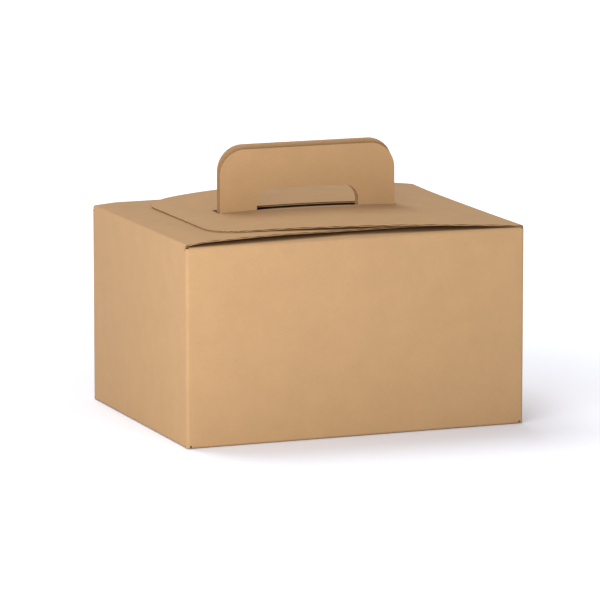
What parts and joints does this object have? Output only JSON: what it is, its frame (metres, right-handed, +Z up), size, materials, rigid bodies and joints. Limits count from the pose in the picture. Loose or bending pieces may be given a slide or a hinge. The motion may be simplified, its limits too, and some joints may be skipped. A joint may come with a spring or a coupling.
{
  "type": "takeaway box",
  "caption": "Kraft board carrying box with a standing two-layer handle through slotted cover flaps; the outer cover opens on its crease.",
  "frame": {"origin": "middle of the box's underside, on the surface it stands on", "axes": "+X along the long side from the inner cover's hinge to the outer cover's hinge, +Y from the front wall to the back wall, +Z up"},
  "size_m": [0.25, 0.195, 0.1927],
  "materials": {
    "kraft_board": "matte unbleached kraft liner"
  },
  "bodies": {
    "box": {"box_body": "kraft_board"},
    "cover": {"outer_cover": "kraft_board"}
  },
  "joints": [
    {"name": "outer_cover_hinge", "type": "hinge", "parent": "box", "child": "cover", "pos_m": [0.12437, 0, 0.13937], "axis": [0, 1, 0], "range_deg": [0, 215]}
  ]
}
